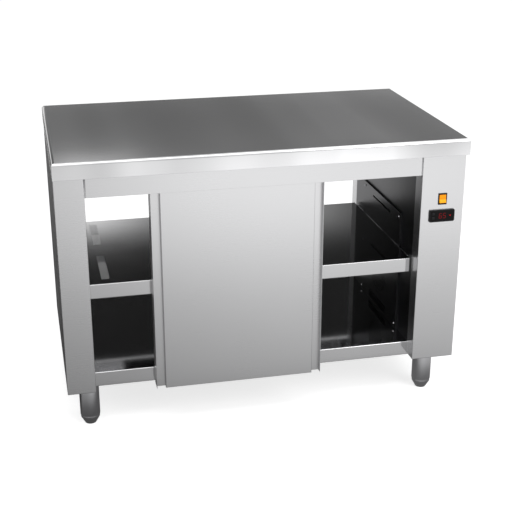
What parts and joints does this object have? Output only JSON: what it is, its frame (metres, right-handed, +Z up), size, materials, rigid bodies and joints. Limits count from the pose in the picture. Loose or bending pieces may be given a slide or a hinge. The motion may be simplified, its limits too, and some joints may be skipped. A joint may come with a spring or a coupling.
{
  "type": "plate warmer cabinet",
  "caption": "Free-standing stainless plate warmer: worktop over a cupboard open front and back, with shelves, sliding doors, a lit switch and a temperature display on one post.",
  "frame": {"origin": "on the floor under the middle of the worktop", "axes": "+X to the right seen from the front, along the worktop; +Y to the back; +Z up"},
  "size_m": [1.2, 0.7, 0.85],
  "materials": {
    "stainless": "fine satin finish, brushed along the sheet",
    "worktop_steel": "fine satin finish, brushed along the worktop",
    "tube_steel": "satin drawn tube",
    "structural_steel": "plain zinc-coated folded steel",
    "track_aluminium": "mill-finish extrusion",
    "wheel_nylon": "moulded nylon on a steel axle",
    "stop_rubber": "black moulded rubber",
    "black_plastic": "fine-grained black plastic",
    "rocker_amber": "translucent amber plastic, lit from inside",
    "window_dark": "dark tinted window over red digits",
    "key_plastic": "black keys",
    "fan_steel": "pressed galvanised sheet",
    "motor_metal": "dark painted die-cast housing",
    "element_steel": "heat-dulled steel tube",
    "terminal_plastic": "cream moulded plastic"
  },
  "bodies": {
    "root": {"air_box": "fan_steel", "base_shelf": "stainless", "cable_gland": "black_plastic", "controller_housing": "black_plastic", "controller_window": "window_dark", "cover_screws": "stainless", "door_guides": "stainless", "fan_motor": "motor_metal", "front_left_leg": "tube_steel", "front_rail": "stainless", "front_right_leg": "tube_steel", "front_track": "track_aluminium", "heater_cover": "stainless", "heating_element": "element_steel", "left_inner_wall": "stainless", "left_side_panel": "stainless", "leg_bearers": "structural_steel", "mid_shelf": "stainless", "omega_stiffeners": "structural_steel", "rear_left_leg": "tube_steel", "rear_rail": "stainless", "rear_right_leg": "tube_steel", "rear_track": "track_aluminium", "right_inner_wall": "stainless", "right_side_panel": "stainless", "safety_thermostat": "motor_metal", "shelf_supports": "structural_steel", "switch_housing": "black_plastic", "temperature_probe": "element_steel", "terminal_block": "terminal_plastic", "track_stops": "stop_rubber", "worktop": "worktop_steel"},
    "front_outer_door": {"front_outer_door_skin": "stainless", "front_outer_door_back": "stainless", "front_outer_door_hangers": "structural_steel"},
    "front_outer_door_left_wheels": {"front_outer_door_left_wheels": "wheel_nylon"},
    "front_outer_door_right_wheels": {"front_outer_door_right_wheels": "wheel_nylon"},
    "front_inner_door": {"front_inner_door_skin": "stainless", "front_inner_door_back": "stainless", "front_inner_door_hangers": "structural_steel"},
    "front_inner_door_left_wheels": {"front_inner_door_left_wheels": "wheel_nylon"},
    "front_inner_door_right_wheels": {"front_inner_door_right_wheels": "wheel_nylon"},
    "rear_outer_door": {"rear_outer_door_skin": "stainless", "rear_outer_door_back": "stainless", "rear_outer_door_hangers": "structural_steel"},
    "rear_outer_door_left_wheels": {"rear_outer_door_left_wheels": "wheel_nylon"},
    "rear_outer_door_right_wheels": {"rear_outer_door_right_wheels": "wheel_nylon"},
    "rear_inner_door": {"rear_inner_door_skin": "stainless", "rear_inner_door_back": "stainless", "rear_inner_door_hangers": "structural_steel"},
    "rear_inner_door_left_wheels": {"rear_inner_door_left_wheels": "wheel_nylon"},
    "rear_inner_door_right_wheels": {"rear_inner_door_right_wheels": "wheel_nylon"},
    "front_left_foot": {"front_left_foot": "tube_steel"},
    "front_right_foot": {"front_right_foot": "tube_steel"},
    "rear_left_foot": {"rear_left_foot": "tube_steel"},
    "rear_right_foot": {"rear_right_foot": "tube_steel"},
    "fan_impeller": {"fan_impeller": "fan_steel"},
    "switch_rocker": {"switch_rocker": "rocker_amber"},
    "controller_up_key": {"controller_up_key": "key_plastic"},
    "controller_down_key": {"controller_down_key": "key_plastic"}
  },
  "joints": [
    {"name": "front_outer_door_slide", "type": "slide", "parent": "root", "child": "front_outer_door", "axis": [1, 0, 0], "range_m": [-0.179, 0.2963]},
    {"name": "front_outer_door_left_wheels_roll", "type": "hinge", "parent": "front_outer_door", "child": "front_outer_door_left_wheels", "pos_m": [-0.266, -0.3141, 0.7806], "axis": [0, 1, 0], "range_deg": [-1141.5, 1888.3]},
    {"name": "front_outer_door_right_wheels_roll", "type": "hinge", "parent": "front_outer_door", "child": "front_outer_door_right_wheels", "pos_m": [0.098, -0.3141, 0.7806], "axis": [0, 1, 0], "range_deg": [-1141.5, 1888.3]},
    {"name": "front_inner_door_slide", "type": "slide", "parent": "root", "child": "front_inner_door", "axis": [1, 0, 0], "range_m": [-0.179, 0.2963]},
    {"name": "front_inner_door_left_wheels_roll", "type": "hinge", "parent": "front_inner_door", "child": "front_inner_door_left_wheels", "pos_m": [-0.266, -0.291, 0.7806], "axis": [0, 1, 0], "range_deg": [-1141.5, 1888.3]},
    {"name": "front_inner_door_right_wheels_roll", "type": "hinge", "parent": "front_inner_door", "child": "front_inner_door_right_wheels", "pos_m": [0.098, -0.291, 0.7806], "axis": [0, 1, 0], "range_deg": [-1141.5, 1888.3]},
    {"name": "rear_outer_door_slide", "type": "slide", "parent": "root", "child": "rear_outer_door", "axis": [1, 0, 0], "range_m": [-0.2963, 0.179]},
    {"name": "rear_outer_door_left_wheels_roll", "type": "hinge", "parent": "rear_outer_door", "child": "rear_outer_door_left_wheels", "pos_m": [-0.1487, 0.3141, 0.7806], "axis": [0, 1, 0], "range_deg": [-1888.3, 1141.5]},
    {"name": "rear_outer_door_right_wheels_roll", "type": "hinge", "parent": "rear_outer_door", "child": "rear_outer_door_right_wheels", "pos_m": [0.2153, 0.3141, 0.7806], "axis": [0, 1, 0], "range_deg": [-1888.3, 1141.5]},
    {"name": "rear_inner_door_slide", "type": "slide", "parent": "root", "child": "rear_inner_door", "axis": [1, 0, 0], "range_m": [-0.2963, 0.179]},
    {"name": "rear_inner_door_left_wheels_roll", "type": "hinge", "parent": "rear_inner_door", "child": "rear_inner_door_left_wheels", "pos_m": [-0.1487, 0.291, 0.7806], "axis": [0, 1, 0], "range_deg": [-1888.3, 1141.5]},
    {"name": "rear_inner_door_right_wheels_roll", "type": "hinge", "parent": "rear_inner_door", "child": "rear_inner_door_right_wheels", "pos_m": [0.2153, 0.291, 0.7806], "axis": [0, 1, 0], "range_deg": [-1888.3, 1141.5]},
    {"name": "front_left_foot_height", "type": "slide", "parent": "root", "child": "front_left_foot", "axis": [0, 0, -1], "range_m": [0, 0.03]},
    {"name": "front_right_foot_height", "type": "slide", "parent": "root", "child": "front_right_foot", "axis": [0, 0, -1], "range_m": [0, 0.03]},
    {"name": "rear_left_foot_height", "type": "slide", "parent": "root", "child": "rear_left_foot", "axis": [0, 0, -1], "range_m": [0, 0.03]},
    {"name": "rear_right_foot_height", "type": "slide", "parent": "root", "child": "rear_right_foot", "axis": [0, 0, -1], "range_m": [0, 0.03]},
    {"name": "fan_spin", "type": "hinge", "parent": "root", "child": "fan_impeller", "pos_m": [0.4785, 0, 0.31], "axis": [1, 0, 0], "continuous": true},
    {"name": "switch_rocker_tilt", "type": "hinge", "parent": "root", "child": "switch_rocker", "pos_m": [0.53205, -0.3266, 0.665], "axis": [1, 0, 0], "range_deg": [0, 20]},
    {"name": "controller_up_key_press", "type": "slide", "parent": "root", "child": "controller_up_key", "axis": [0, 1, 0], "range_m": [0, 0.0006], "stiffness_N_per_m": 500},
    {"name": "controller_down_key_press", "type": "slide", "parent": "root", "child": "controller_down_key", "axis": [0, 1, 0], "range_m": [0, 0.0006], "stiffness_N_per_m": 500}
  ],
  "couplings": [
    {"joint": "front_outer_door_left_wheels_roll", "follows": "front_outer_door_slide", "rad_per_m": 111.11},
    {"joint": "front_outer_door_right_wheels_roll", "follows": "front_outer_door_slide", "rad_per_m": 111.11},
    {"joint": "front_inner_door_left_wheels_roll", "follows": "front_inner_door_slide", "rad_per_m": 111.11},
    {"joint": "front_inner_door_right_wheels_roll", "follows": "front_inner_door_slide", "rad_per_m": 111.11},
    {"joint": "rear_outer_door_left_wheels_roll", "follows": "rear_outer_door_slide", "rad_per_m": 111.11},
    {"joint": "rear_outer_door_right_wheels_roll", "follows": "rear_outer_door_slide", "rad_per_m": 111.11},
    {"joint": "rear_inner_door_left_wheels_roll", "follows": "rear_inner_door_slide", "rad_per_m": 111.11},
    {"joint": "rear_inner_door_right_wheels_roll", "follows": "rear_inner_door_slide", "rad_per_m": 111.11}
  ]
}
